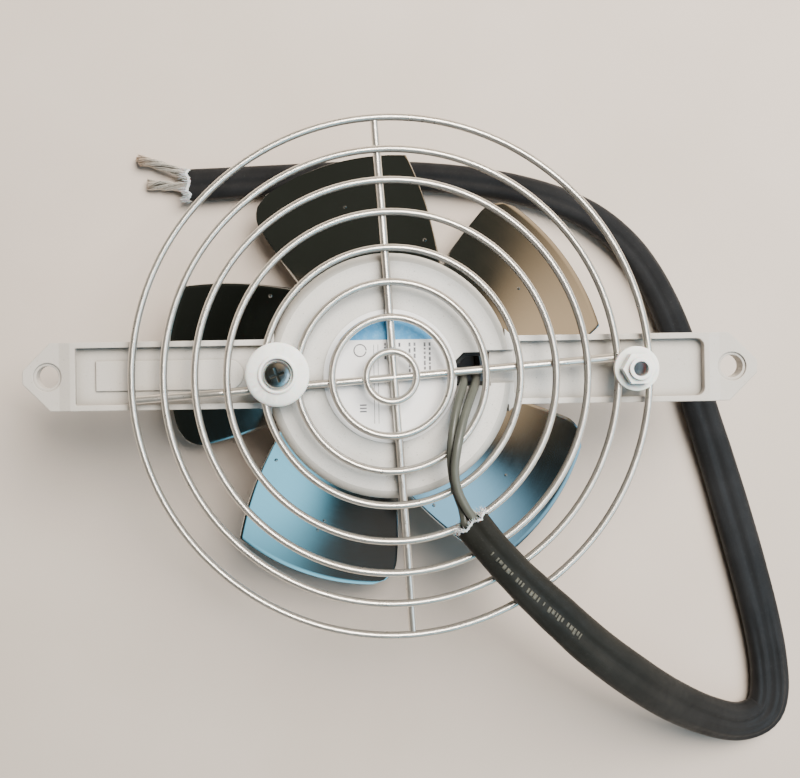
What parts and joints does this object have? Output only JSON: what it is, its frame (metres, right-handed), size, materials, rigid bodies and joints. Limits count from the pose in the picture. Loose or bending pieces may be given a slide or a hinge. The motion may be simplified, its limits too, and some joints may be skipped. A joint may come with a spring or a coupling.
{
  "type": "combustion fan",
  "caption": "Boiler fan: external-rotor motor with a sheet-metal axial impeller, held by a cast two-arm bracket under a round wire guard, with sleeved supply leads.",
  "frame": {"origin": "on the fan axis, in the plane of the rear faces of the bracket's two ears", "axes": "+Z along the fan axis, out of the wire guard; +X along the bracket's arms, towards the side with the nut and the lead slot"},
  "size_m": [0.2293, 0.189, 0.0467],
  "materials": {
    "cast_aluminium": "as-cast, matt, lightly tumbled",
    "label_film": "printed film, satin",
    "bush_rubber": "matt",
    "machined_steel": "machined",
    "lamination_steel": "stamped laminations, varnished",
    "bobbin_nylon": "moulded",
    "coil_copper": "enamelled winding wire",
    "ring_copper": "bare copper",
    "bearing_steel": "ground and polished",
    "cage_steel": "pressed",
    "guard_wire": "bright zinc plate",
    "white_nylon": "moulded nylon",
    "zinc_screw": "zinc plated",
    "rotor_paint": "dipped black paint",
    "cast_cage": "pressure cast",
    "blade_sheet": "bright sheet, satin mirror",
    "lead_insulation": "smooth, satin",
    "sleeve_rubber": "woven and coated sleeving, satin",
    "bare_strands": "tinned stranded copper"
  },
  "bodies": {
    "standing": {"bracket": "cast_aluminium", "rating_label": "label_film", "lead_grommet": "bush_rubber", "bearing_tube": "machined_steel", "preload_washer": "machined_steel", "stator_core": "lamination_steel", "bobbin_a": "bobbin_nylon", "bobbin_b": "bobbin_nylon", "coil_a": "coil_copper", "coil_b": "coil_copper", "shading_rings": "ring_copper", "front_outer_race": "bearing_steel", "rear_outer_race": "bearing_steel", "guard_ring_1": "guard_wire", "guard_ring_2": "guard_wire", "guard_ring_3": "guard_wire", "guard_ring_4": "guard_wire", "guard_ring_5": "guard_wire", "guard_ring_6": "guard_wire", "guard_ring_7": "guard_wire", "guard_ring_8": "guard_wire", "guard_spoke_long": "guard_wire", "guard_spoke_cross": "guard_wire", "clamp_washer": "white_nylon", "clamp_screw": "zinc_screw", "flange_nut": "white_nylon", "nut_stud": "zinc_screw", "stud_washer": "zinc_screw", "lead_a": "lead_insulation", "lead_b": "lead_insulation", "sleeve": "sleeve_rubber", "lead_end_a": "bare_strands", "lead_end_b": "bare_strands"},
    "impeller": {"shaft": "bearing_steel", "rotor_bush": "machined_steel", "rotor_cup": "rotor_paint", "rotor_core": "lamination_steel", "rotor_cage": "cast_cage", "shaft_circlip": "machined_steel", "front_inner_race": "bearing_steel", "rear_inner_race": "bearing_steel", "blade_1": "blade_sheet", "blade_2": "blade_sheet", "blade_3": "blade_sheet", "blade_4": "blade_sheet", "blade_5": "blade_sheet"},
    "front_ball_set": {"front_balls": "bearing_steel", "front_ball_cage": "cage_steel"},
    "rear_ball_set": {"rear_balls": "bearing_steel", "rear_ball_cage": "cage_steel"}
  },
  "joints": [
    {"name": "rotor_spin", "type": "hinge", "parent": "standing", "child": "impeller", "pos_m": [0, 0, 0], "axis": [0, 0, 1], "continuous": true},
    {"name": "front_balls_roll", "type": "hinge", "parent": "standing", "child": "front_ball_set", "pos_m": [0, 0, 0], "axis": [0, 0, 1], "continuous": true},
    {"name": "rear_balls_roll", "type": "hinge", "parent": "standing", "child": "rear_ball_set", "pos_m": [0, 0, -0.023], "axis": [0, 0, 1], "continuous": true}
  ],
  "couplings": [
    {"joint": "front_balls_roll", "follows": "rotor_spin", "ratio": 0.36},
    {"joint": "rear_balls_roll", "follows": "rotor_spin", "ratio": 0.36}
  ]
}
